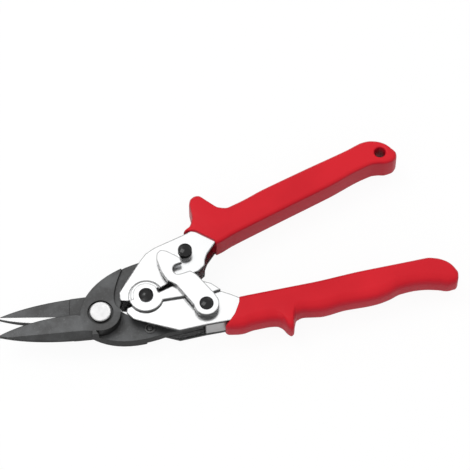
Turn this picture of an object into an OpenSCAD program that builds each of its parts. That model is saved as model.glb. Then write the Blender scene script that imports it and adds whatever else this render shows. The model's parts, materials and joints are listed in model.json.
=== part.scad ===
// Aviation snips with compound leverage: two jaws crossing at a pivot, two folded
// steel handles that pin to the jaw tails and to each other at the hub, and a latch.
// X runs from the jaw pivot towards the handles, Z stands up from the resting face.

/* [Linkage] */
// Distance from the jaw pivot to the hub, jaws as drawn
hub_x = 26; // [24:0.5:31]
// Distance of the tail knuckles from the jaw pivot, along the tool
knuckle_x = 54.5; // [52:0.5:66]
// Distance of each tail knuckle from the centre line
knuckle_y = 17; // [15.5:0.5:20]

/* [Jaws] */
// Length of a blade from the jaw pivot to its tip
blade_len = 55.5; // [46:0.5:70]
// Depth of a blade at its root, from the pivot to the back edge
blade_depth = 12.6; // [11:0.2:15]
// How far the cutting edge bows out over the line from pivot to tip
edge_bow = 5.2; // [3.5:0.1:6.5]
// Angle between the two blades, jaws as drawn
blade_open = 12.3; // [4:0.1:16]
// Angle of the closing line of the blades to the tool's centre line
blade_tilt = 13.5; // [0:0.5:18]
// Thickness of a jaw at its tail
jaw_t = 5; // [4:0.1:6]
// Extra thickness of the blade and pivot boss over the tail
boss_t = 1.4; // [0.8:0.1:2]
// Thickness of a blade at its tip
tip_t = 2.6; // [2:0.1:4]
// Radius of the pivot boss
boss_r = 11; // [10:0.1:11.6]
// Radius of a jaw tail round its knuckle
tail_r = 7; // [6:0.1:8]
// Depth of the hollow behind the ground edge of a blade
hollow_t = 0.35; // [0.1:0.05:0.6]

/* [Handles] */
// Thickness of the handle sheet
sheet_t = 1.6; // [1.2:0.1:2]
// Angle of each handle to the centre line
handle_angle = 8.3; // [5:0.1:12]
// Radius of the handle ears round the hub
ear_r = 9.4; // [8.8:0.1:10]
// Depth of the coined recess round the hub in the upper handle
coin_t = 0.4; // [0.2:0.1:0.8]
// Width of the channel inside a grip
tang_w = 9; // [8:0.5:11]
// Length of the channel from its start at the grip
tang_len = 74; // [50:1:95]

/* [Grips] */
// Length of a grip along the handle
grip_len = 124; // [112:1:150]
// Width of a grip
grip_w = 16.4; // [15:0.2:19]
// Thickness of a grip
grip_t = 17; // [16.6:0.2:20]
// Height of the finger guard of the upper grip over the handle's middle
guard_h = 22.8; // [17:0.2:26]
// Height of the finger guard of the lower grip over the handle's middle
stop_h = 16; // [13:0.2:20]
// Radius of the hanging hole
hang_r = 3; // [2:0.1:3.6]

/* [Latch] */
// Thickness of the latch
latch_t = 2.5; // [1.6:0.1:3]
// Radius of the latch round its rivet
latch_r = 6.8; // [6:0.1:7.4]
// Distance from the latch rivet to the bottom of the notch
latch_reach = 20.8; // [20:0.1:22]

/* [Fasteners] */
// Radius of the jaw pivot bolt
pivot_r = 4; // [3.4:0.1:4.6]
// Radius of the jaw pivot bolt's head
pivot_head_r = 5.85; // [5.4:0.05:6.2]
// Radius of the hub bolt and of both knuckle rivets
pin_r = 3; // [2.6:0.1:3.2]
// Radius of the heads seen on the hub bolt, the catch stud and the latch rivet
stud_r = 3.8; // [3.6:0.1:4.2]
// Width across flats of the pivot nut
pivot_nut_w = 13; // [12:0.5:14]
// Width across flats of the hub nut
hub_nut_w = 10; // [9:0.5:11]
// Thickness of the hub nut
hub_nut_t = 3; // [2.4:0.1:4]
// Wire thickness of the return spring
wire_d = 1.4; // [1:0.1:1.5]

/* [Fits] */
// Radial clearance of a pin that turns in its hole
run_gap = 0.05; // [0.02:0.01:0.1]
// Gap between flat faces that slide over each other
slide_gap = 0.1; // [0.05:0.05:0.2]
// Gap between a jaw tail and the handle cheeks
cheek_gap = 0.3; // [0.2:0.05:0.5]
// Radial clearance of the hub bolt in the upper handle
hub_gap = 0.4; // [0.35:0.05:0.6]
// Gap between a grip and the channel in it
grip_gap = 0.15; // [0.1:0.05:0.3]

/* [Hidden] */
$fn = 64;
curve_n = 12;
washer_t = 1;
thin_washer_t = 0.8;

// Heights above and below the shear plane, the plane where the two jaws meet
half_slide = slide_gap / 2;
tail_top = half_slide + jaw_t;
boss_top = tail_top + boss_t;
cheek_in = tail_top + cheek_gap;
cheek_out = cheek_in + sheet_t;
ear_in = cheek_out + slide_gap;
ear_out = ear_in + sheet_t;
latch_z = ear_out + 0.15;
latch_top = latch_z + latch_t;
// The nuts end in one plane, which is the resting face at Z = 0
shear_z = ear_out + thin_washer_t + hub_nut_t;
head_sink = 1.2;
head_t = 2.3;
stud_over = 0.9;
rivet_head_t = 1.5;
rivet_head_r = pin_r + 1.6;

J = [0, 0];
H = [hub_x, 0];
K = [knuckle_x, knuckle_y];
L = [knuckle_x, -knuckle_y];
// Angle and distance from the hub to a knuckle
knuckle_a = atan2(knuckle_y, knuckle_x - hub_x);
knuckle_d = norm(K - H);
front_a = 180 - blade_tilt + blade_open / 2;
rear_a = 180 - blade_tilt - blade_open / 2;
throat_x = 13;
hole_r = pin_r + run_gap;
bush_r = 4.6;
spacer_r = 5.5;
// The upper half of the raised ear is narrower by this, and its seat for the bolt has this radius
ear_rim = 1;
seat_r = 7;
// Gap beside the hub between the upper cheek and the tongue of the lower one
hub_slot = [[hub_x + 6.7, -0.9], [hub_x + 6.7, 1.9], [hub_x + 16.2, 3.7], [hub_x + 18.3, 0.5]];
// Rivet through the rear jaw's tail
tail_rivet_at = [hub_x - 3.5, -15.5];
tail_rivet_r = 1.6;
// Middle radius of the spring's coil, and how far its legs lie from the shear plane
spring_r = bush_r + 0.3 + wire_d / 2;
leg_z = 2;
// The channel enters the grip here, on the handle's middle line
grip_x = knuckle_x + 7.5;
grip_y = knuckle_y + 7.2;
// Centre of the hanging hole, near the end of the upper grip
hang_at = [grip_x, grip_y] + [[cos(handle_angle), -sin(handle_angle)], [sin(handle_angle), cos(handle_angle)]]
    * [grip_len - 8.8, -3];

// Points of a curve that leaves a towards b and arrives at c from b
function bend(a, b, c) = [for (i = [0 : curve_n]) let (t = i / curve_n)
    (1 - t) * (1 - t) * a + 2 * t * (1 - t) * b + t * t * c];
// Points of an arc about c from angle a to angle b
function arc(c, r, a, b) = [for (i = [0 : curve_n])
    c + r * [cos(a + (b - a) * i / curve_n), sin(a + (b - a) * i / curve_n)]];

// Slab of the outline below it, from height a to height b about the shear plane
module slab(a, b) {
    translate([0, 0, shear_z + a]) linear_extrude(b - a) children();
}
// Round pin or hole about the point p, from height a to height b
module pin(p, r, a, b) {
    translate([p.x, p.y, shear_z + a]) cylinder(r = r, h = b - a);
}
// Same piece turned over, for the underside
module underside() {
    translate([0, 0, 2 * shear_z]) mirror([0, 0, 1]) children();
}
module round_corners(r) {
    offset(r = r, $fn = 32) offset(delta = -r) children();
}
// Child moved to the upper handle's own line, X along the grip, Y outwards
module on_handle() {
    translate([grip_x, grip_y]) rotate(handle_angle) children();
}

// ---- jaws ----
// Blade outline, X from the pivot to the tip, Y towards the cutting edge
module blade_2d() {
    tip = [blade_len, -0.2];
    edge = bend([throat_x, 1.6], [blade_len * 0.65, edge_bow], [blade_len - 0.3, 0.4]);
    back = bend(tip, [blade_len * 0.65, -blade_depth * 0.75], [3.5, -blade_depth]);
    polygon(concat([[throat_x - 5, -1]], edge, back));
}
// Tail outline: horn on the outside, then round the knuckle
module tail_2d() {
    horn = [knuckle_x * 0.55, knuckle_y + 4.3];
    back = bend([-8.5, 7], [3, horn.y + 0.5], horn);
    // The inner edge leaves room for the hub and its spring when the jaws close
    inner = bend([hub_x + 4, knuckle_y - tail_r], [hub_x - 10.5, knuckle_y - tail_r + 0.5], [9, -4]);
    polygon(concat(back, arc(K, tail_r, 90, -90), inner, [[-6, -6]]));
}
// Raised part of the tail side, where the thick boss ends in a curved step
module raised_2d() {
    reach = blade_len + 10;
    step = bend([boss_r, -2], [5, 4], [19, knuckle_y + 3]);
    polygon(concat([[-reach, -reach], [boss_r, -reach]], step, [[19, reach], [-reach, reach]]));
}
// Wedge that thins the blade's outer face from the boss to the tip
module blade_taper() {
    drop = boss_t + jaw_t - tip_t;
    run = blade_len - boss_r;
    slope = atan2(drop, run);
    translate([boss_r, -blade_len, shear_z + boss_top])
        rotate([0, slope, 0]) cube([blade_len * 1.5, blade_len * 2, boss_top * 2]);
}
// Bevel along the back edge of the blade
module back_bevel() {
    a = atan2(blade_depth, blade_len - 3.5);
    translate([blade_len, -0.2 - 1.6, shear_z + half_slide + 1.6])
        rotate(180 + a) translate([-10, 0.4, 0]) rotate([40, 0, 0])
        cube([blade_len + 4, 12, 12]);
}
// Blade at its place about the pivot, cut to its wedge, bevel and hollow
module blade() {
    difference() {
        slab(half_slide, boss_top) blade_2d();
        blade_taper();
        back_bevel();
        slab(half_slide - 1, half_slide + hollow_t) difference() {
            polygon([[throat_x + 4, -0.4], [blade_len, -0.4], [blade_len, -15], [throat_x + 4, -15]]);
            circle(r = boss_r + 1);
        }
    }
}
// Boss and tail of the jaw whose tail runs to the upper knuckle
module jaw_body() {
    slab(half_slide, tail_top) tail_2d();
    slab(half_slide, boss_top) intersection() {
        union() {
            tail_2d();
            circle(r = boss_r);
        }
        raised_2d();
    }
}
module front_jaw() {
    color("dimgray") difference() {
        union() {
            jaw_body();
            rotate(front_a) mirror([0, 1, 0]) blade();
        }
        pin(J, pivot_r + run_gap, 0, boss_top + 1);
        pin(J, pivot_head_r + 1, boss_top - head_sink, boss_top + 1);
        pin(K, hole_r, 0, boss_top + 1);
    }
}
module rear_jaw() {
    color("dimgray") underside() difference() {
        union() {
            mirror([0, 1, 0]) jaw_body();
            rotate(rear_a) blade();
        }
        pin(J, pivot_r + run_gap, 0, boss_top + 1);
        pin(L, hole_r, 0, boss_top + 1);
        pin(tail_rivet_at, tail_rivet_r + 0.05, 0, boss_top + 1);
    }
}

// ---- pivot ----
module pivot_bolt() {
    seat = boss_top - head_sink;
    color("silver") {
        pin(J, pivot_r, -shear_z + 2, seat);
        translate([0, 0, shear_z + seat]) rotate_extrude()
            polygon([[0, 0], [pivot_head_r, 0], [pivot_head_r, head_t - 0.4],
                [pivot_head_r - 0.4, head_t], [0, head_t]]);
    }
}
module pivot_washer() {
    color("gray") difference() {
        pin(J, pivot_nut_w / 2 + 1, -boss_top - washer_t, -boss_top);
        pin(J, pivot_r + 0.1, -boss_top - washer_t - 1, 0);
    }
}
module pivot_nut() {
    color("silver") difference() {
        cylinder(d = pivot_nut_w / cos(30), h = shear_z - boss_top - washer_t, $fn = 6);
        translate([0, 0, 2]) cylinder(r = pivot_r, h = shear_z);
    }
}
// Small rivet in the rear jaw's tail, its head turned with a groove
module tail_rivet() {
    color("gray") {
        pin(tail_rivet_at, tail_rivet_r, -tail_top, -half_slide);
        translate([tail_rivet_at.x, tail_rivet_at.y, shear_z - half_slide]) rotate_extrude()
            polygon([[0, 0], [3, 0], [3, 0.6], [2.7, 0.9], [2.1, 0.9], [1.8, 0.5], [1.4, 0.5],
                [1.1, 0.9], [0, 0.9]]);
    }
}

// ---- handles ----
// Cheek of the upper handle outside the hub's ring
module upper_cheek_2d() {
    left = hub_x - 13.8;
    polygon([[left, 2.6], [left + 1.1, 7.1], [hub_x + 4.5, knuckle_y + 4.6],
        [hub_x + 8.5, knuckle_y + 7.4], [hub_x + 14, knuckle_y + 9],
        [grip_x - 1, grip_y + 4.2], [grip_x + 14, grip_y + 4], [grip_x + 12, grip_y - 5],
        [grip_x + 3.7, grip_y - 11.3], [grip_x + 1.4, grip_y - 14.2], [grip_x, grip_y - 17.5],
        [grip_x - 4.5, grip_y - 19.6], hub_slot[2], hub_slot[1], [hub_x, 0.4],
        [hub_x - 10, 0.8]]);
}
// Tang of the channel inside the grip, in the handle's own line
module tang_2d(w) {
    translate([-1, -w / 2]) square([tang_len + 1, w]);
}
// Web that joins the two cheeks along the outer edge
module web_2d() {
    on_handle() translate([0, tang_w / 2 - sheet_t]) square([tang_len, sheet_t]);
    polygon([[knuckle_x - 4, grip_y + 2.3], [grip_x + 0.6, grip_y + 4.5],
        [grip_x + 0.8, grip_y + 2.9], [knuckle_x - 4, grip_y + 0.7]]);
}
module upper_side() {
    difference() {
        slab(cheek_in, cheek_out) union() {
            round_corners(0.8) upper_cheek_2d();
            on_handle() tang_2d(tang_w);
            translate(H) circle(r = ear_r - 2);
        }
        pin(H, ear_r, cheek_out - coin_t, cheek_out + 1);
        pin(H, hole_r - run_gap + hub_gap, 0, ear_out);
        pin(K, hole_r, 0, ear_out);
    }
}
module upper_handle() {
    color("gainsboro") {
        upper_side();
        underside() upper_side();
        slab(-cheek_out, cheek_out) web_2d();
    }
}
// Main sheet of the lower cheek, which stays clear of the upper handle as it closes
module lower_cheek_2d() {
    left = hub_x - 13;
    difference() {
        polygon([[left, -5.4], [left + 2.3, -10.3], [left + 9.7, -15.7], [hub_x + 10.3, -knuckle_y - 8.2],
            [knuckle_x - 4, -knuckle_y - 9.9], [grip_x - 1, -grip_y - 4.4],
            [grip_x + 14, -grip_y - 4], [grip_x + 12, -grip_y + 5],
            [grip_x + 8.7, -grip_y + 8.4], [grip_x + 2.6, -grip_y + 13.6], [grip_x + 1.4, -grip_y + 15],
            [knuckle_x + 1.5, -knuckle_y + 8], [hub_x + 20, -6.2], [hub_x + 8, -3.9],
            [hub_x + 2, -2], [hub_x - 11.6, -3.2]]);
        translate(H) circle(r = ear_r - 1.6);
    }
}
// Half plane below the centre line, past the hub's ears on both sides
module lower_half_2d() {
    translate([0, -2 * hub_x]) square(2 * hub_x);
}
// Raised sheet: the ear round the hub and the tongue under the latch
module lower_ear_2d() {
    difference() {
        union() {
            translate(H) circle(r = ear_r - ear_rim);
            intersection() {
                translate(H) circle(r = ear_r);
                lower_half_2d();
            }
            polygon([[hub_x + 3, -1.5], hub_slot[0], hub_slot[3], [knuckle_x - 0.5, 0],
                [grip_x - 0.5, -5.6], [grip_x + 2.8, -10.6], [knuckle_x + 1.5, -knuckle_y + 6.4],
                [hub_x + 20, -7.8], [hub_x + 8, -5.6], [hub_x + 2, -5]]);
        }
        polygon(hub_slot);
    }
}
// Upper half of the ear's rim, which is coined down round the bolt's seat
module ear_step_2d() {
    difference() {
        translate(H) circle(r = ear_r);
        translate(H) circle(r = seat_r);
        lower_half_2d();
    }
}
module lower_side() {
    difference() {
        union() {
            slab(cheek_in, cheek_out) union() {
                round_corners(0.8) lower_cheek_2d();
                mirror([0, 1]) on_handle() tang_2d(tang_w);
            }
            slab(ear_in, ear_out) lower_ear_2d();
            slab(cheek_in, ear_out) intersection() {
                lower_cheek_2d();
                lower_ear_2d();
            }
        }
        slab(ear_out - coin_t / 2, ear_out + 1) ear_step_2d();
        pin(H, hole_r, 0, ear_out + 1);
        pin(L, hole_r, 0, ear_out + 1);
    }
}
module lower_handle() {
    color("gainsboro") {
        lower_side();
        underside() lower_side();
        slab(-cheek_out, cheek_out) mirror([0, 1]) web_2d();
    }
}

// ---- grips ----
module upper_grip_2d() {
    w = grip_w / 2;
    n = grip_len;
    polygon([[-3.5, w - 1.5], [3.3, w - 0.4], [6.8, guard_h * 0.55], [9.3, guard_h - 2.6], [12, guard_h],
        [15, guard_h - 0.4], [17.4, guard_h - 5], [20.7, w + 3], [26, w - 0.4], [48, w + 0.3],
        [n - 48, w], [n - 16, w - 0.3], [n - 8.5, w - 2.4], [n - 3.6, 1.4], [n - 0.8, -4.7],
        [n - 1, -w - 0.3], [n - 5.3, -w - 2.8], [n - 10, -w - 1.6], [n - 17, -w + 1.1],
        [n - 44, -w + 0.4], [40, -w], [7.5, -w - 1.1], [6.2, -5.4], [3.6, 0.1], [-0.4, 3]]);
}
module lower_grip_2d() {
    w = grip_w / 2;
    n = grip_len + 5;
    polygon([[-1, w - 0.4], [8.6, w + 1], [15, w], [25.5, w + 0.2], [29, w + 1.5], [31.5, stop_h - 2.4],
        [34.5, stop_h], [36, stop_h - 3.6], [37.8, w + 0.2], [41, w - 1.6], [53, w], [66, w - 1.2],
        [81, w - 0.8], [90, w - 2.2], [98, w - 4.5], [n - 23, w - 4.6], [n - 13, w - 3],
        [n - 4.4, w - 0.6], [n - 1, w - 3], [n, 1], [n - 3.6, -4.6], [n - 11, -w - 1.2],
        [n - 24, -w - 1.8], [78, -w - 1.6], [50, -w - 0.4], [10.5, -w - 0.4], [7.2, -5], [4, 0.4], [-2, 4]]);
}
// Grip body: the outline rounded over its top and bottom faces in steps
module grip_body() {
    steps = 5;
    round_r = 3.4;
    half = grip_t / 2;
    for (i = [0 : steps - 1]) {
        a = 90 * (i + 0.5) / steps;
        inset = round_r * (1 - sin(a));
        z = half - round_r * (1 - cos(a));
        slab(-z, z) offset(delta = -inset) round_corners(1.6) children();
    }
}
module grip_pocket() {
    slab(-cheek_out - grip_gap, cheek_out + grip_gap)
        on_handle() translate([-12, 0]) tang_2d(tang_w + 2 * grip_gap);
    slab(-cheek_out - grip_gap, cheek_out + grip_gap)
        on_handle() translate([tang_len - 13, -tang_w / 2 - grip_gap])
        square([13 + grip_gap, tang_w + 2 * grip_gap]);
}
module upper_grip() {
    color("crimson") difference() {
        grip_body() on_handle() upper_grip_2d();
        grip_pocket();
        slab(-cheek_out - grip_gap, cheek_out + grip_gap) offset(delta = grip_gap) upper_cheek_2d();
        pin(hang_at, hang_r, -grip_t, grip_t);
    }
}
module lower_grip() {
    color("crimson") difference() {
        mirror([0, 1, 0]) difference() {
            grip_body() on_handle() lower_grip_2d();
            grip_pocket();
        }
        slab(-cheek_out - grip_gap, cheek_out + grip_gap) offset(delta = grip_gap) lower_cheek_2d();
    }
}

// ---- hub ----
module dome(p, r, h) {
    big = (r * r + h * h) / (2 * h);
    translate([p.x, p.y, shear_z]) rotate_extrude() intersection() {
        translate([0, h - big]) circle(r = big, $fn = 96);
        square([r, h]);
    }
}
module hub_bolt() {
    color("dimgray") {
        pin(H, pin_r, -shear_z + 0.4, ear_out + 0.8);
        pin(H, stud_r + 0.2, ear_out, ear_out + 0.8);
        translate([0, 0, ear_out + 0.8]) dome(H, stud_r + 0.2, 1.7);
    }
}
module hub_bush() {
    color("gray") difference() {
        pin(H, bush_r, -cheek_in + slide_gap, cheek_in - slide_gap);
        pin(H, hole_r, -cheek_in - 1, cheek_in + 1);
    }
}
module hub_washer() {
    color("silver") difference() {
        pin(H, hub_nut_w / 2 + 1.2, -ear_out - thin_washer_t, -ear_out);
        pin(H, pin_r + 0.1, -ear_out - 2, 0);
    }
}
module hub_nut() {
    color("silver") difference() {
        translate([H.x, H.y, 0]) cylinder(d = hub_nut_w / cos(30), h = hub_nut_t, $fn = 6);
        translate([H.x, H.y, -1]) cylinder(r = pin_r, h = hub_nut_t + 2);
    }
}
// Torsion spring round the hub bush; its legs push the two spacers apart
module spring_leg() {
    lean = asin((spacer_r + wire_d / 2 + 0.1 - spring_r) / knuckle_d);
    translate([H.x, H.y, shear_z]) rotate(knuckle_a - lean) translate([0, -spring_r, -leg_z])
        rotate([0, 90, 0]) cylinder(d = wire_d, h = knuckle_d + 2);
}
module return_spring() {
    turns = 3;
    pitch = 2 * leg_z / turns;
    color("dimgray") {
        for (i = [0 : turns])
            translate([H.x, H.y, shear_z - leg_z + i * pitch])
                rotate_extrude() translate([spring_r, 0]) circle(d = wire_d, $fn = 24);
        spring_leg();
        mirror([0, 1, 0]) underside() spring_leg();
    }
}

// ---- knuckles ----
// Knuckle rivet whose head stands over the latch
module knuckle_rivet(p) {
    neck_top = latch_top + slide_gap;
    head_top = latch_top + 0.3;
    pin(p, pin_r, -cheek_out, neck_top);
    pin(p, rivet_head_r, -cheek_out - rivet_head_t, -cheek_out);
    pin(p, stud_r, neck_top, head_top);
    translate([0, 0, head_top]) dome(p, stud_r, stud_over);
}
// The collar seats on the upper cheek; the latch's notch takes the neck above it
module catch_stud() {
    color("dimgray") {
        knuckle_rivet(K);
        pin(K, stud_r, cheek_out, latch_z - slide_gap);
    }
}
module latch_rivet() {
    color("dimgray") knuckle_rivet(L);
}
module upper_spacer() {
    color("gray") difference() {
        pin(K, spacer_r, -cheek_in + slide_gap, -slide_gap);
        pin(K, hole_r, -cheek_in, 0);
    }
}
module lower_spacer() {
    color("gray") difference() {
        pin(L, spacer_r, slide_gap, cheek_in - slide_gap);
        pin(L, hole_r, 0, cheek_in);
    }
}

// ---- latch ----
module latch_spacer() {
    color("dimgray") difference() {
        pin(L, latch_r - 1, cheek_out, latch_z - half_slide);
        pin(L, hole_r, 0, latch_z);
    }
}
// Outline about the rivet: a round end, a neck and a head with a notch that opens to the right
module latch_2d() {
    n = latch_reach;
    hook = n + 17.4;
    notch_r = pin_r + 0.2;
    difference() {
        union() {
            circle(r = latch_r);
            round_corners(1.6) polygon([[-latch_r * 0.98, 1.5], [-11.4, 16], [-15, 20], [-16.4, 26],
                [-16.4, 34], [-15, hook - 0.8], [-12.4, hook + 0.4], [-9.6, hook - 1.2],
                [-6.4, hook - 4.8], [-4.2, hook - 7.4], [-4.2, n + 1], [-1.6, n + 0.6], [1, n - 3],
                [latch_r * 0.9, 4], [latch_r, -1]]);
        }
        translate([-7.1, n + 3.7]) circle(r = notch_r);
        translate([-7.1, n + 3.7 - notch_r]) square([latch_r * 2, notch_r * 2]);
    }
}
module latch() {
    color("silver") difference() {
        slab(latch_z, latch_top) translate(L) latch_2d();
        pin(L, hole_r, 0, latch_top + 1);
    }
}

rear_jaw();
front_jaw();
pivot_bolt();
pivot_washer();
pivot_nut();
tail_rivet();
upper_handle();
lower_handle();
upper_grip();
lower_grip();
hub_bolt();
hub_bush();
hub_washer();
hub_nut();
return_spring();
catch_stud();
upper_spacer();
latch_rivet();
lower_spacer();
latch_spacer();
latch();
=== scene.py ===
# %% [markdown]
# # Aviation snips
# Aviation snips cut sheet metal. Two short jaws turn on one bolt, and two long handles work
# them through a second set of pivots, so that a hand's squeeze arrives at the blades several
# times stronger. A latch across the handles is there to keep them shut.
#
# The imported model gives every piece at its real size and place. This lesson dresses it: the
# two grips and the return spring are remade as smooth surfaces, each finish is a node
# material, and the tool is lit as on a bench in soft daylight.

# %% Load the model
import bpy, json, math
import numpy as np
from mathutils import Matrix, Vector


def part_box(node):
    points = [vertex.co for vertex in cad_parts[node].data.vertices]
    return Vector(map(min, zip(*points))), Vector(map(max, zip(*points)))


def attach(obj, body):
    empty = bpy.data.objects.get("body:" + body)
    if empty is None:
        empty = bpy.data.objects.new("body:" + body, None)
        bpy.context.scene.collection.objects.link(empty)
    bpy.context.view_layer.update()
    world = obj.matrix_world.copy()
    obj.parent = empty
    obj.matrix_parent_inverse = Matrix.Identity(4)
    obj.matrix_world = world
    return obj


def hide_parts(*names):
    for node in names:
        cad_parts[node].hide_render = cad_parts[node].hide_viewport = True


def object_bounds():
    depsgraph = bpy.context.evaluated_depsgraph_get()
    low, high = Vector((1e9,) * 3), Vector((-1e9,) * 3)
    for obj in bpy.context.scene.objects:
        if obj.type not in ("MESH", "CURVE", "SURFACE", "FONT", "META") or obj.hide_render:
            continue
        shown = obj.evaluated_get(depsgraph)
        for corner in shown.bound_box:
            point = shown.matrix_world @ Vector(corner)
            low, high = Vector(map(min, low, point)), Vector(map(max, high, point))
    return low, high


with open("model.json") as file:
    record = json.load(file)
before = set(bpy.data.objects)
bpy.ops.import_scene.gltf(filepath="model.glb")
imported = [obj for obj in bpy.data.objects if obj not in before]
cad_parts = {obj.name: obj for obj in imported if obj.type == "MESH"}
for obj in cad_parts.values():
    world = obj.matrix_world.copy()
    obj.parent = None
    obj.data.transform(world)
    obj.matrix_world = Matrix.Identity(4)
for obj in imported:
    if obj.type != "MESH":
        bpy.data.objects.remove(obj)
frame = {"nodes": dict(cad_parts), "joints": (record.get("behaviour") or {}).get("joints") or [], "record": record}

cad_box = [list(map(float, corner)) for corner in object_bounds()]
nodes = frame["nodes"]
joints = {joint["name"]: joint for joint in frame["joints"]}
MM = 0.001
print("model box in metres:", cad_box)

# %% [markdown]
# The joints say where the tool turns. The jaw pivot's height is the shear plane, where the
# two jaws slide on each other. A knuckle is the rivet that joins a handle to a jaw's tail.
# The hub is the bolt that joins the two handles, and its bush says where it stands. Taking
# these places from the model, not typing them, keeps the looks on the part if it changes.

# %% Places taken from the model
pivot = np.array(joints["jaw_pivot"]["pos_m"])
upper_knuckle = np.array(joints["upper_knuckle"]["pos_m"])
shear_z = pivot[2]
bush_low, bush_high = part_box("hub_bush")
hub = np.array([(bush_low.x + bush_high.x) / 2, 0, shear_z])
bush_r = (bush_high.x - bush_low.x) / 2
print("hub at", hub, "bush radius", round(bush_r / MM, 2), "mm")

# %% [markdown]
# A material is a graph of nodes, but its sums read better as Python. A `Link` wraps one
# socket, so that `1 - mask * 0.5` adds the Math nodes for it. Every other node comes from
# `Shader.add`, which sets the node's settings first and then its inputs.


# %% Shader helper
class Link:
    def __init__(self, shader, socket):
        self.shader, self.socket = shader, socket

    def maths(self, operation, a, b=None):
        values = {0: a} if b is None else {0: a, 1: b}
        return self.shader.add("ShaderNodeMath", {"operation": operation}, values)

    def __add__(self, other):
        return self.maths("ADD", self, other)

    def __radd__(self, other):
        return self.maths("ADD", other, self)

    def __sub__(self, other):
        return self.maths("SUBTRACT", self, other)

    def __rsub__(self, other):
        return self.maths("SUBTRACT", other, self)

    def __mul__(self, other):
        return self.maths("MULTIPLY", self, other)

    def __rmul__(self, other):
        return self.maths("MULTIPLY", other, self)

    def absolute(self):
        return self.maths("ABSOLUTE", self)

    def step(self, low, high):
        """Runs smoothly from 0 at low to 1 at high."""
        settings = {"interpolation_type": "SMOOTHSTEP"}
        return self.shader.add("ShaderNodeMapRange", settings, {0: self, 1: low, 2: high})


class Shader:
    def __init__(self, name):
        self.material = bpy.data.materials.new(name)
        self.material.use_nodes = True
        self.tree = self.material.node_tree
        self.surface = self.tree.nodes["Principled BSDF"]

    def add(self, kind, settings, inputs, output=0):
        node = self.tree.nodes.new(kind)
        for name, value in settings.items():
            setattr(node, name, value)
        for key, value in inputs.items():
            self.put(node.inputs[key], value)
        return Link(self, node.outputs[output])

    def put(self, socket, value):
        if isinstance(value, Link):
            self.tree.links.new(value.socket, socket)
        else:
            socket.default_value = value

    def finish(self, **inputs):
        for name, value in inputs.items():
            self.put(self.surface.inputs[name.replace("_", " ")], value)
        return self.material

    def place(self):
        """The point on the piece, in metres, as X, Y and Z."""
        point = self.add("ShaderNodeTexCoord", {}, {}, "Object")
        parts = self.tree.nodes.new("ShaderNodeSeparateXYZ")
        self.put(parts.inputs[0], point)
        return point, [Link(self, parts.outputs[i]) for i in range(3)]

    def noise(self, point, scale, detail, roughness):
        inputs = {"Vector": point, "Scale": scale, "Detail": detail, "Roughness": roughness}
        return self.add("ShaderNodeTexNoise", {}, inputs, "Fac")

    def stretch(self, point, scale, turn):
        """The point turned about Z and scaled along each axis, for a pattern that runs one way."""
        inputs = {"Vector": point, "Rotation": (0, 0, turn), "Scale": scale}
        return self.add("ShaderNodeMapping", {}, inputs)

    def mix(self, factor, a, b):
        """Colour a where the factor is 0, colour b where it is 1. On a Mix node the colours are
        inputs 6 and 7, and the mixed colour is output 2."""
        node = self.tree.nodes.new("ShaderNodeMix")
        node.data_type = "RGBA"
        self.put(node.inputs[0], factor)
        self.put(node.inputs[6], a)
        self.put(node.inputs[7], b)
        return Link(self, node.outputs[2])

    def bump(self, height, strength, distance, base=None):
        inputs = {"Height": height, "Strength": strength, "Distance": distance}
        if base is not None:
            inputs["Normal"] = base
        return self.add("ShaderNodeBump", {}, inputs, "Normal")

    def edges(self, radius):
        """1 along the piece's sharp edges, falling to 0 at the radius, and the normal that
        rounds them. The Bevel node bends the normal near an edge, so the mask is how far the
        bent normal has turned away from the face's own one."""
        soft = self.add("ShaderNodeBevel", {"samples": 6}, {"Radius": radius})
        true = self.add("ShaderNodeNewGeometry", {}, {}, "True Normal")
        product = {"operation": "DOT_PRODUCT"}
        same = self.add("ShaderNodeVectorMath", product, {0: soft, 1: true}, "Value")
        return (1 - same).step(0.004, 0.08), soft

    def upright(self):
        """How far the face looks along Z: 1 on top and below, 0 on a side wall."""
        normal = self.add("ShaderNodeTexCoord", {}, {}, "Normal")
        parts = self.tree.nodes.new("ShaderNodeSeparateXYZ")
        self.put(parts.inputs[0], normal)
        return Link(self, parts.outputs[2]).absolute()


def grey(value, tint=0.0):
    """A grey, made warmer by a tint above 0 and cooler by one below."""
    return (value * (1 + tint), value, value * (1 - tint), 1)


def dress(material, *names):
    """Gives the named nodes this material in place of their plain one."""
    for name in names:
        nodes[name].data.materials.clear()
        nodes[name].data.materials.append(material)


print("shader helper ready")

# %% [markdown]
# The jaws are forged and heat-treated, which leaves a dark, slightly mottled grey. Only the
# land, a narrow flat along each cutting edge, is ground bright. The land could be a separate
# face with its own material, but the jaw is one solid, so the shader finds it from the shape:
# it is the flat that stays at the shear plane, beside the slightly lower hollow. Scratches
# run along the blade, because that is how a blade is ground and how it wears. The side walls
# are painted darker than the top faces as painted shade, and a painted dark outline along
# every edge stands in for the shade and dark reflections on the rounded edges.


# %% Jaw steel
FRONT_EDGE, REAR_EDGE = math.radians(172.65), math.radians(160.35)
LAND_SIDE = (-0.5 * MM, -0.2 * MM)
LAND_START = (15.0 * MM, 16.5 * MM)
LAND_LEVEL = (-0.3 * MM, -0.2 * MM)


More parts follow.
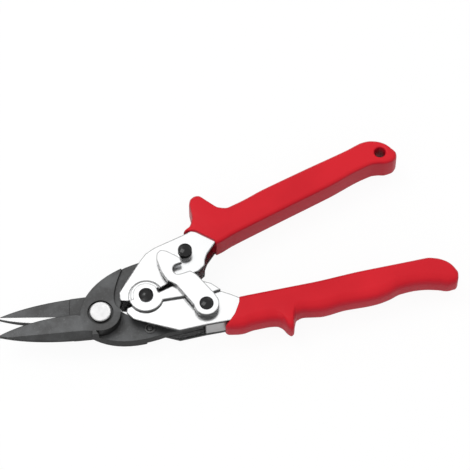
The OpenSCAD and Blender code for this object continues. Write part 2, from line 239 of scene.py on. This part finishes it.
def jaw_steel(name, facing, edge_angle, side):
    """facing is the way the mating face looks, +1 up or -1 down. The land lies beside the
    line through the pivot at edge_angle, on the side given, past LAND_START from the pivot,
    and where the surface is within LAND_LEVEL of the shear plane. Each pair of limits is
    where that test is 0 and where it is 1."""
    shader = Shader(name)
    point, (x, y, z) = shader.place()
    cloud = shader.noise(point, 70, 5, 0.62)
    speck = shader.noise(point, 900, 3, 0.7)
    scratch = shader.noise(shader.stretch(point, (60, 1100, 400), math.radians(15)), 1, 4, 0.6)
    u = np.array([math.cos(edge_angle), math.sin(edge_angle)])
    n = np.array([-u[1], u[0]]) * side
    along = x * float(u[0]) + y * float(u[1])
    across = x * float(n[0]) + y * float(n[1])
    level = (z - float(shear_z)) * facing
    land = across.step(*LAND_SIDE) * along.step(*LAND_START) * level.step(*LAND_LEVEL)
    edge, rounded = shader.edges(0.6 * MM)
    dark = shader.mix(cloud.step(0.35, 0.68), grey(0.058), grey(0.100, -0.02))
    dark = shader.mix(speck.step(0.56, 0.72) * 0.5, dark, grey(0.15))
    # Painted shade: side walls darker than the top faces, then a painted dark outline along the edges.
    dark = shader.mix(shader.upright().step(0.15, 0.9), grey(0.020), dark)
    dark = shader.mix(edge * 0.75, dark, grey(0.02))
    colour = shader.mix(land, dark, grey(0.60))
    rough = 0.40 + cloud * 0.14 - land * 0.12 + scratch * 0.06
    normal = shader.bump(speck * 0.6 + scratch * 0.4, 0.12, 0.0002, rounded)
    return shader.finish(Base_Color=colour, Metallic=0.75, Roughness=rough, Normal=normal)


dress(jaw_steel("jaw steel front", -1, FRONT_EDGE, -1), "front_jaw")
dress(jaw_steel("jaw steel rear", 1, REAR_EDGE, 1), "rear_jaw")
print("jaws: dark forged steel with a ground land")

# %% [markdown]
# The handles and the latch are pressed from sheet and then plated. The flat faces mirror
# the sky, so they look almost white. The side walls are painted darker as painted shade:
# inside the channels, between the two cheeks, hardly any light arrives, so walls within
# CHEEK_IN of the shear plane are painted mid grey, and walls further out, the cheeks' cut
# edges and the latch's sides, are painted nearly black. Every edge also gets a painted dark
# outline, which is painted shade too. Drawn outlines could be thin dark strips of mesh, but
# a mask from the Bevel node follows every edge by itself and leaves the sheet's shape alone.
# Very fine polishing lines keep the mirror from being perfect.


# %% Plated sheet
CHEEK_IN = 5.35 * MM
OUTLINE = 1.1 * MM


def plated_sheet():
    """CHEEK_IN is where a cheek's inner face lies, measured from the shear plane."""
    shader = Shader("plated sheet")
    point, (_, _, z) = shader.place()
    haze = shader.noise(point, 45, 4, 0.55)
    lines = shader.noise(shader.stretch(point, (90, 2600, 900), math.radians(-9)), 1, 3, 0.6)
    flat = shader.upright().step(0.45, 0.8)
    edge, _ = shader.edges(OUTLINE)
    face = shader.mix(haze.step(0.3, 0.75), grey(0.94, -0.003), grey(0.89, -0.005))
    # Painted shade: side walls mid grey within CHEEK_IN of the shear plane and nearly black further out, the
    # cheeks' cut edges and the latch's sides, and a painted dark outline on every edge.
    cut = (z - float(shear_z)).absolute().step(CHEEK_IN - 0.1 * MM, CHEEK_IN + 0.2 * MM)
    side = shader.mix(cut, grey(0.42), grey(0.05))
    colour = shader.mix(edge * 0.92, shader.mix(flat, side, face), grey(0.03))
    rough = 0.36 - flat * 0.22 + haze * 0.06 + lines * 0.05
    normal = shader.bump(lines, 0.03, 0.0001)
    return shader.finish(Base_Color=colour, Metallic=1.0, Roughness=rough, Normal=normal)


dress(plated_sheet(), "upper_handle", "lower_handle", "latch")
print("plated: both handles and the latch")

# %% [markdown]
# Bolts, nuts, washers and bushes are turned on a lathe, which leaves fine rings. The rings
# could be cut into the mesh, but they are far finer than its faces. Here the distance from
# the fastener's own axis goes through a sine, and the wave feeds a bump. The hub bolt, the
# catch stud and the latch rivet are blackened by heat and oil: a dark, glossy skin that
# wears grey on top. The rivet in the rear jaw has the jaw's own grey. On the turned parts
# the side walls are painted darker than the top faces as painted shade, the rivet's head has
# painted shade in its round groove, and all three finishes paint a dark outline along the
# edges as painted shade.


# %% Turned steel and blackened steel
def centre_of(name):
    low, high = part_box(name)
    return (low + high) / 2


def rings(shader, x, y, centre, pitch):
    """The distance from the axis, and the lathe rings: a sine wave of that distance."""
    dx, dy = x - float(centre.x), y - float(centre.y)
    radius = shader.add("ShaderNodeMath", {"operation": "SQRT"}, {0: dx * dx + dy * dy})
    wave = shader.add("ShaderNodeMath", {"operation": "SINE"}, {0: radius * (2 * math.pi / pitch)})
    return radius, wave


def turned_steel(node):
    shader = Shader("turned steel " + node)
    point, (x, y, _) = shader.place()
    _, wave = rings(shader, x, y, centre_of(node), 0.55 * MM)
    cloud = shader.noise(point, 160, 4, 0.6)
    flat = shader.upright().step(0.4, 0.8)
    edge, rounded = shader.edges(0.6 * MM)
    face = shader.mix(cloud.step(0.3, 0.7), grey(0.64), grey(0.54))
    face = shader.mix((wave * 0.5 + 0.5) * 0.30, face, grey(0.30))
    # Painted shade: side walls darker than the top faces, and a painted dark outline along the edges.
    colour = shader.mix(edge * 0.9, shader.mix(flat, grey(0.10), face), grey(0.03))
    rough = 0.34 + cloud * 0.10 - flat * 0.04
    normal = shader.bump(wave * 0.5 + cloud, 0.10, 0.0001, rounded)
    return shader.finish(Base_Color=colour, Metallic=0.9, Roughness=rough, Normal=normal)


def blackened_steel(node):
    shader = Shader("blackened steel " + node)
    point, (x, y, _) = shader.place()
    _, wave = rings(shader, x, y, centre_of(node), 0.4 * MM)
    cloud = shader.noise(point, 220, 4, 0.6)
    worn = cloud.step(0.5, 0.75) * shader.upright().step(0.6, 0.98)
    edge, rounded = shader.edges(0.4 * MM)
    colour = shader.mix(worn * 0.6, grey(0.022), grey(0.075))
    # Painted shade: a painted dark outline along the edges.
    colour = shader.mix(edge * 0.8, colour, grey(0.012))
    rough = 0.08 + cloud * 0.08
    normal = shader.bump(cloud + wave * 0.15, 0.06, 0.00012, rounded)
    return shader.finish(Base_Color=colour, Metallic=0.8, Roughness=rough, Normal=normal)


GROOVE_IN = (1.2 * MM, 1.5 * MM)
GROOVE_OUT = (1.8 * MM, 2.1 * MM)


def grey_rivet(node):
    """The jaw's grey, with painted shade darkening the round groove of the rivet's head."""
    shader = Shader("grey steel " + node)
    point, (x, y, _) = shader.place()
    radius, wave = rings(shader, x, y, centre_of(node), 0.5 * MM)
    edge, rounded = shader.edges(0.5 * MM)
    groove = radius.step(*GROOVE_IN) * (1 - radius.step(*GROOVE_OUT))
    cloud = shader.noise(point, 300, 4, 0.6)
    colour = shader.mix(cloud, grey(0.10), grey(0.17))
    # Painted shade: the groove ring is darkened, and a painted dark outline runs along the edges.
    colour = shader.mix(edge * 0.7, shader.mix(groove * 0.8, colour, grey(0.02)), grey(0.02))
    normal = shader.bump(cloud + wave * 0.3, 0.1, 0.0001, rounded)
    return shader.finish(Base_Color=colour, Metallic=0.75, Roughness=0.38 + cloud * 0.1, Normal=normal)


TURNED = ("pivot_bolt", "pivot_washer", "pivot_nut", "hub_bush", "hub_washer",
          "hub_nut", "upper_spacer", "lower_spacer")
BLACK = ("hub_bolt", "catch_stud", "latch_rivet", "latch_spacer")
for finish, names in ((turned_steel, TURNED), (blackened_steel, BLACK), (grey_rivet, ("tail_rivet",))):
    for name in names:
        dress(finish(name), name)
print("turned:", len(TURNED), "blackened:", len(BLACK))

# %% [markdown]
# The grips are moulded plastic over the steel channels. One could be a flat outline pushed
# up and bevelled, but a moulded grip rounds differently on its two sides and at its end, so
# each one is a skin of rings instead: at every station along the handle the section is a
# rectangle with round corners, as wide as the grip's outline there. The rings lean at the
# front, where the grip ends on a slant, and close to a line at the back. The grips and the
# spring share one helper, which joins a stack of rings into a closed mesh.


# %% Surface helpers
def smooth_curve(points, x):
    """Height of the curve through the points at each x: a cubic between neighbours whose
    slope at a point is the mean slope to the points beside it, never past a flat turn."""
    px, py = np.array(points, float).T
    slope = np.diff(py) / np.diff(px)
    mean = np.where(slope[:-1] * slope[1:] > 0,
                    2 * slope[:-1] * slope[1:] / (slope[:-1] + slope[1:] + 1e-12), 0)
    tangent = np.concatenate([[slope[0]], mean, [slope[-1]]])
    i = np.clip(np.searchsorted(px, x) - 1, 0, len(px) - 2)
    h = px[i + 1] - px[i]
    t = np.clip((x - px[i]) / h, 0, 1)
    return ((2 * t**3 - 3 * t**2 + 1) * py[i] + (t**3 - 2 * t**2 + t) * h * tangent[i]
            + (3 * t**2 - 2 * t**3) * py[i + 1] + (t**3 - t**2) * h * tangent[i + 1])


def tube_mesh(name, rings_xyz, material):
    """Mesh of quads over a grid of rings, with a fan of triangles over each end."""
    count, around, _ = rings_xyz.shape
    i, j = np.meshgrid(np.arange(count - 1), np.arange(around), indexing="ij")
    k = (j + 1) % around
    quads = np.stack([i * around + j, i * around + k, (i + 1) * around + k, (i + 1) * around + j], -1)
    faces = quads.reshape(-1, 4).tolist()
    points = np.vstack([rings_xyz.reshape(-1, 3), rings_xyz[0].mean(0), rings_xyz[-1].mean(0)])
    first, last = count * around, count * around + 1
    j = np.arange(around)
    k = (j + 1) % around
    faces += np.stack([np.full(around, first), k, j], -1).tolist()
    last_ring = (count - 1) * around
    faces += np.stack([np.full(around, last), last_ring + j, last_ring + k], -1).tolist()
    mesh = bpy.data.meshes.new(name)
    mesh.from_pydata(points.tolist(), [], faces)
    mesh.polygons.foreach_set("use_smooth", np.ones(len(mesh.polygons), bool))
    mesh.materials.append(material)
    piece = bpy.data.objects.new(name, mesh)
    bpy.context.scene.collection.objects.link(piece)
    return piece


print("surface helpers ready")

# %% [markdown]
# Moulded plastic has a faint pebble from the mould, a low, even gloss, and a colour that
# drifts a little over a hand's width. The side walls are painted a darker, cooler red as
# painted shade. The low specular level keeps the white sky from washing the red out.


# %% Red grip plastic
def grip_plastic():
    shader = Shader("red grip plastic")
    point, _ = shader.place()
    cloud = shader.noise(point, 26, 3, 0.5)
    pebble = shader.noise(point, 1500, 2, 0.5)
    flat = shader.upright().step(0.15, 0.85)
    face = shader.mix(cloud.step(0.3, 0.7), (0.60, 0.011, 0.021, 1), (0.53, 0.008, 0.017, 1))
    # Painted shade: the side walls' darker, cooler red.
    side = (0.38, 0.005, 0.018, 1)
    colour = shader.mix(flat, side, face)
    rough = 0.34 + cloud * 0.08
    normal = shader.bump(pebble, 0.05, 0.00008)
    shader.surface.inputs["Specular IOR Level"].default_value = 0.14
    return shader.finish(Base_Color=colour, Roughness=rough, Normal=normal)


red = grip_plastic()
print("grip plastic ready")

# %% [markdown]
# A grip's outline is two curves along the handle, the outer edge and the inner edge. Each
# is a short list of points in millimetres: how far along the handle, and how far across it,
# from GRIP_START. The outer edge of the upper grip rises into the finger guard, which keeps
# the hand off the steel. The lower grip has a smaller guard further back and a waist behind
# it, where the fingers pull.

# %% Grip outlines
HANDLE_ANGLE = math.radians(8.3)
GRIP_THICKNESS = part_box("upper_grip")[1].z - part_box("upper_grip")[0].z
GRIP_START = np.array([upper_knuckle[0] + 7.5 * MM, upper_knuckle[1] + 7.2 * MM])
UPPER_OUTER = [(-5, 6.4), (3.3, 7.6), (6.6, 11.5), (9.0, 19.6), (11.2, 22.3), (13.2, 22.75),
               (15.2, 22.0), (17.4, 17.6), (20.9, 10.8), (26, 8.0), (34, 7.9), (48, 8.5),
               (76, 8.2), (100, 7.7), (108, 8.0), (112, 7.4), (116.5, 5.2), (120.4, 1.4),
               (122.6, -3.0), (123.5, -6.2)]
UPPER_INNER = [(-5, -9.2), (7.5, -9.2), (20, -8.5), (40, -8.2), (80, -7.9), (100, -6.9), (107, -7.2),
               (111, -8.4), (115, -10.4), (118.7, -10.9), (121.6, -9.9), (123.1, -8.0), (123.5, -6.4)]
LOWER_OUTER = [(-5, 6.5), (2, 8.2), (8.6, 9.2), (15, 8.3), (22, 8.2), (27, 8.8), (30, 10.8), (32.2, 14.6),
               (33.8, 15.95), (35.1, 15.2), (36.4, 11.4), (38.4, 7.7), (42, 6.7), (47, 7.4), (53, 8.2),
               (66, 7.1), (78, 7.4), (83, 7.2), (90, 6.0), (97, 3.9), (104, 3.5), (110, 4.0), (117, 5.6),
               (123, 7.4), (126.5, 7.0), (128.4, 4.9), (129, 1.9)]
LOWER_INNER = [(-5, -8.4), (10.5, -8.6), (50, -8.7), (78, -9.8), (105, -10.0), (114, -10.1), (119, -8.9),
               (123, -6.8), (126.2, -3.9), (128.3, -0.6), (129, 1.6)]
print("outline points:", len(UPPER_OUTER) + len(UPPER_INNER) + len(LOWER_OUTER) + len(LOWER_INNER))


# %% Grip surface, in millimetres until the last step
GUARD_END, TAIL = 42, 10
BACK_ROUND, BACK_DROP = 4.5, 3.2
FRONT_ROUND, FRONT_DROP, FRONT_INSET = 2.2, 1.6, 1.3
THINNEST = 0.02
CORNER_STEPS = 9
CROWN = 0.012
FRONT_LOW, FRONT_SPAN, LEAN_END = -8.6, 14.9, 26


def quarter_round(t):
    """1 at t = 0, falling along a quarter circle to 0 at t = 1."""
    return 1 - np.sqrt(1 - (1 - t) ** 2)


def grip(name, outer, inner, side, edge_r, front):
    """For each station s and each angle t round the ring, the point is the middle of the
    section plus a corner circle, of radius edge_r[0] on the outer side of the handle and
    edge_r[1] on the inner side, on the rectangle that is left inside it:
    across = middle + (half width - r) * sign(cos t) + r * cos t, and height likewise.
    front gives the slanted front edge: how far it is set back on the inner side, how much
    of that is taken away towards the outer side, and the power of the curve between them.
    Stations are closest over the guard, up to GUARD_END, and over the last TAIL of the grip."""
    end = outer[-1][0]
    s = np.concatenate([np.linspace(0, GUARD_END, 190),
                        np.linspace(GUARD_END, end - TAIL, 150)[1:],
                        end - TAIL * np.cos(np.linspace(0, np.pi / 2, 60)[1:])])
    s = np.clip(s, 0, end - 0.001)
    top, low = smooth_curve(outer, s), smooth_curve(inner, s)
    half_w = np.maximum((top - low) / 2, THINNEST)
    middle = (top + low) / 2
    from_end = np.clip((end - s) / BACK_ROUND, 0, 1)
    from_start = np.clip(s / FRONT_ROUND + 0.02, 0, 1)
    body = GRIP_THICKNESS / 2 / MM
    half_h = body - BACK_DROP * quarter_round(from_end) - FRONT_DROP * quarter_round(from_start)
    half_w = np.maximum(half_w - FRONT_INSET * quarter_round(from_start), THINNEST)
    corners = np.arange(4) * np.pi / 2
    t = np.concatenate([np.linspace(q, q + np.pi / 2, CORNER_STEPS) for q in corners])
    sign_y = np.repeat([1, -1, -1, 1], CORNER_STEPS)
    sign_z = np.repeat([1, 1, -1, -1], CORNER_STEPS)
    r = np.minimum(np.where(sign_y > 0, *edge_r), half_w[:, None] * 0.98)
    across = middle[:, None] + sign_y * (half_w[:, None] - r) + np.cos(t) * r
    height = sign_z * (half_h[:, None] - r) + np.sin(t) * r
    height = height * (1 + CROWN * (1 - ((across - middle[:, None]) / half_w[:, None]) ** 2))
    height = np.clip(height, -body, body)
    reach, fall, power = front
    t_front = np.clip((across - FRONT_LOW) / FRONT_SPAN, 0, 1)
    fade = np.clip(1 - s / LEAN_END, 0, 1)[:, None] ** 2
    along = s[:, None] + fade * (reach - fall * t_front**power)
    cos_a, sin_a = math.cos(HANDLE_ANGLE), math.sin(HANDLE_ANGLE)
    x = GRIP_START[0] + (along * cos_a - across * sin_a) * MM
    y = side * (GRIP_START[1] + (along * sin_a + across * cos_a) * MM)
    z = shear_z + height * MM
    points = np.stack([x, y, z], -1)
    # Known fault, left in: with this order the lower grip's faces point inwards.
    if side > 0:
        points = points[:, ::-1]
    return tube_mesh(name, points, red)


HOLE_RIM = 1.3 * MM
PAST_FACE = 2 * MM
HOLE_SIDES = 64


def drill(piece, centre, radius, depth):
    """Cuts a round hole with softened rims: the cutter is a turned shape whose radius grows
    by a quarter circle near each face of the grip. It runs PAST_FACE on both sides."""
    rim = HOLE_RIM
    bend = np.linspace(0, np.pi / 2, 8)
    upper_z = depth / 2 - rim + rim * np.sin(bend)
    upper_r = radius + rim * (1 - np.cos(bend))
    far = depth / 2 + PAST_FACE
    z = np.concatenate([[far], upper_z[::-1], -upper_z, [-far]])
    r = np.concatenate([[upper_r[-1]], upper_r[::-1], upper_r, [upper_r[-1]]])
    turn = np.linspace(0, 2 * np.pi, HOLE_SIDES, endpoint=False)
    points = np.stack([centre[0] + r[:, None] * np.cos(turn),
                       centre[1] + r[:, None] * np.sin(turn),
                       np.repeat((shear_z + z)[:, None], HOLE_SIDES, 1)], -1)
    cutter = tube_mesh("hole_cutter", points[::-1], red)
    cut = piece.modifiers.new("hanging hole", "BOOLEAN")
    cut.operation = "DIFFERENCE"
    cut.solver = "EXACT"
    cut.object = cutter
    bpy.context.view_layer.update()
    graph = bpy.context.evaluated_depsgraph_get()
    mesh = bpy.data.meshes.new_from_object(piece.evaluated_get(graph))
    piece.modifiers.clear()
    piece.data = mesh
    bpy.data.objects.remove(cutter)
    return len(mesh.polygons)


UPPER_EDGES, LOWER_EDGES = (3.4, 2.2), (6.0, 3.2)
UPPER_FRONT, LOWER_FRONT = (9.0, 12.0, 2.5), (9.6, 10.4, 2.2)
upper = grip("upper_grip_skin", UPPER_OUTER, UPPER_INNER, 1, UPPER_EDGES, UPPER_FRONT)
lower = grip("lower_grip_skin", LOWER_OUTER, LOWER_INNER, -1, LOWER_EDGES, LOWER_FRONT)
mounts = {mount["name"]: mount for mount in frame["record"]["mounts"]}
hole = mounts["hang_hole"]
print("upper grip faces:", drill(upper, hole["pos_m"], hole["dims"]["r_mm"] * MM, GRIP_THICKNESS))
for piece, node in ((upper, "upper_grip"), (lower, "lower_grip")):
    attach(piece, node.replace("grip", "handle"))
    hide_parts(node)

# %% [markdown]
# The return spring opens the handles again after each cut. The photo doesn't show it, so
# its kind and place are a guess: one wire, with straight legs that run to the spacers and a
# coil round the hub bush. A curve object with a bevel would draw it too, but a section
# carried along a worked-out path gives the same closed mesh on every machine. Each leg cuts
# a little way into its spacer, which is a known fault.


# %% Return spring
WIRE_R = 0.7 * MM
COIL_GAP = 0.3 * MM
COIL_TURNS = 3
HALF_RISE = 2 * MM
LEG_PAST = 1 * MM
LEG_STEPS, COIL_STEPS, WIRE_SIDES = 40, 260, 14


def spring_wire():
    """Path: down the upper leg, some turns of a helix, out along the lower leg. The coil
    clears the bush by COIL_GAP, and a leg ends LEG_PAST its knuckle. The section is a circle
    in the plane square to the path at each point."""
    coil_r = bush_r + COIL_GAP + WIRE_R
    reach = np.linalg.norm(upper_knuckle[:2] - hub[:2])
    knuckle = math.atan2(upper_knuckle[1], upper_knuckle[0] - hub[0])
    leg = np.linspace(reach + LEG_PAST, 0, LEG_STEPS)
    first = knuckle - math.pi / 2
    last = -knuckle + math.pi / 2 + 2 * math.pi * COIL_TURNS
    turn = np.linspace(first, last, COIL_STEPS)[1:-1]
    z = np.linspace(-HALF_RISE, HALF_RISE, COIL_STEPS)[1:-1]
    upper_leg = np.stack([hub[0] + coil_r * math.cos(first) + leg * math.cos(knuckle),
                          coil_r * math.sin(first) + leg * math.sin(knuckle),
                          np.full(LEG_STEPS, -HALF_RISE)], -1)
    coil = np.stack([hub[0] + coil_r * np.cos(turn), coil_r * np.sin(turn), z], -1)
    leg = leg[::-1]
    lower_leg = np.stack([hub[0] + coil_r * math.cos(last) + leg * math.cos(knuckle),
                          coil_r * math.sin(last) - leg * math.sin(knuckle),
                          np.full(LEG_STEPS, HALF_RISE)], -1)
    path = np.vstack([upper_leg, coil, lower_leg]) + [0, 0, shear_z]
    ahead = np.gradient(path, axis=0)
    ahead /= np.linalg.norm(ahead, axis=1)[:, None]
    side = np.cross(ahead, [0, 0, 1])
    side /= np.linalg.norm(side, axis=1)[:, None]
    up = np.cross(side, ahead)
    angle = np.linspace(0, 2 * np.pi, WIRE_SIDES, endpoint=False)[:, None]
    ring = np.cos(angle) * side[:, None] + np.sin(angle) * up[:, None]
    wire = (path[:, None] + WIRE_R * ring)[:, ::-1]
    return tube_mesh("return_spring_wire", wire, blackened_steel("hub_bush"))


spring = spring_wire()
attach(spring, "lower_handle")
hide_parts("return_spring")
print("spring faces:", len(spring.data.polygons))

# %% [markdown]
# The floor is pale and plain, like a sheet of paper on a bench. Paper lit only by the sky
# comes out grey, so to the camera the floor is mostly a steady white of its own, and a small
# share of its lit surface keeps the soft shadow under the tool. Polished faces see some of
# that white as well.


# %% Floor
GLOW_TO_CAMERA, GLOW_TO_MIRRORS = 0.93, 0.35
FLOOR_HALF = 6.0
FLOOR_BELOW = 0.5 * MM


def floor_material():
    shader = Shader("pale floor")
    point, _ = shader.place()
    grain = shader.noise(point, 40, 2, 0.5)
    shader.finish(Base_Color=shader.mix(grain, grey(0.92), grey(0.90)), Roughness=0.9)
    camera_ray = shader.add("ShaderNodeLightPath", {}, {}, "Is Camera Ray")
    glossy_ray = shader.add("ShaderNodeLightPath", {}, {}, "Is Glossy Ray")
    glow = shader.add("ShaderNodeEmission", {}, {"Color": (1, 1, 1, 1), "Strength": 1.0})
    surface = Link(shader, shader.surface.outputs[0])
    seen = camera_ray * GLOW_TO_CAMERA + glossy_ray * GLOW_TO_MIRRORS
    shown = shader.add("ShaderNodeMixShader", {}, {0: seen, 1: surface, 2: glow})
    output = shader.tree.nodes["Material Output"]
    shader.put(output.inputs["Surface"], shown)
    return shader.material


floor_mesh = bpy.data.meshes.new("floor")
corners = [(x * FLOOR_HALF, y * FLOOR_HALF, 0) for x, y in ((-1, -1), (1, -1), (1, 1), (-1, 1))]
floor_mesh.from_pydata(corners, [], [(0, 1, 2, 3)])
floor_mesh.materials.append(floor_material())
floor = bpy.data.objects.new("floor", floor_mesh)
bpy.context.scene.collection.objects.link(floor)
floor.location.z = cad_box[0][2] - FLOOR_BELOW
print("floor at", round(floor.location.z, 5))


# %% [markdown]
# The light is a bright sky, a large soft lamp over the tool and a weaker one from the side.
# A polished face shows only what it mirrors, so the sky does most of the work here: it is
# brightest overhead and darkens towards the horizon, which turns flat faces white and
# slanted ones grey. The camera itself sees the sky as plain white.


# %% Light
SKY_HORIZON, SKY_TOP = 0.35, 1.0
HORIZON_HEIGHT, TOP_HEIGHT = 0.05, 0.60
OVERHEAD, BESIDE = Vector((-0.25, 0.35, 0.9)), Vector((-0.7, -0.5, 0.5))


def sky():
    """The two heights are the upward part of the ray's direction where the sky is darkest
    and where it is brightest. On a Mix node the two values are inputs 2 and 3."""
    world = bpy.data.worlds.new("soft sky")
    bpy.context.scene.world = world
    world.use_nodes = True
    tree = world.node_tree
    background = tree.nodes["Background"]
    background.inputs["Color"].default_value = (1, 1, 1, 1)
    where = tree.nodes.new("ShaderNodeTexCoord")
    parts = tree.nodes.new("ShaderNodeSeparateXYZ")
    ramp = tree.nodes.new("ShaderNodeMapRange")
    limits = {"From Min": HORIZON_HEIGHT, "From Max": TOP_HEIGHT, "To Min": SKY_HORIZON, "To Max": SKY_TOP}
    for name, value in limits.items():
        ramp.inputs[name].default_value = value
    path = tree.nodes.new("ShaderNodeLightPath")
    pick = tree.nodes.new("ShaderNodeMix")
    pick.inputs[3].default_value = 1.0
    tree.links.new(where.outputs["Generated"], parts.inputs[0])
    tree.links.new(parts.outputs[2], ramp.inputs[0])
    tree.links.new(ramp.outputs[0], pick.inputs[2])
    tree.links.new(path.outputs["Is Camera Ray"], pick.inputs[0])
    tree.links.new(pick.outputs[0], background.inputs["Strength"])


def lamp(name, place, aim, power, width):
    data = bpy.data.lights.new(name, "AREA")
    data.energy, data.size = power, width
    light = bpy.data.objects.new(name, data)
    bpy.context.scene.collection.objects.link(light)
    light.location = place
    light.rotation_euler = (aim - place).to_track_quat("-Z", "Y").to_euler()


sky()
middle = (Vector(cad_box[0]) + Vector(cad_box[1])) / 2
lamp("soft lamp over the tool", middle + OVERHEAD, middle, power=2.2, width=0.45)
lamp("side lamp", middle + BESIDE, middle, power=0.9, width=0.5)
print("two lamps and a sky")

# %% [markdown]
# The camera stands in front of the tool and looks steeply down with a long lens, so that
# the far grip is hardly smaller than the near one. FIELD is the width in metres that fits
# the picture at AIM, and the lens follows from it and the distance.

# %% Camera
SENSOR_WIDTH = 36
AZIMUTH, ELEVATION = math.radians(-20.4), math.radians(63)
DISTANCE = 1.6
AIM = Vector((0.0855, 0.0226, 0.010))
FIELD = 0.2574
camera_data = bpy.data.cameras.new("camera")
camera = bpy.data.objects.new("camera", camera_data)
bpy.context.scene.collection.objects.link(camera)
level = Vector((math.sin(AZIMUTH), -math.cos(AZIMUTH), 0))
back = level * math.cos(ELEVATION) + Vector((0, 0, math.sin(ELEVATION)))
camera.location = AIM + back * DISTANCE
camera.rotation_euler = (-back).to_track_quat("-Z", "Y").to_euler()
camera_data.sensor_width = SENSOR_WIDTH
camera_data.lens = SENSOR_WIDTH * DISTANCE / FIELD
bpy.context.scene.camera = camera
bpy.context.scene.view_settings.view_transform = "Standard"
print("lens", round(camera_data.lens), "mm")
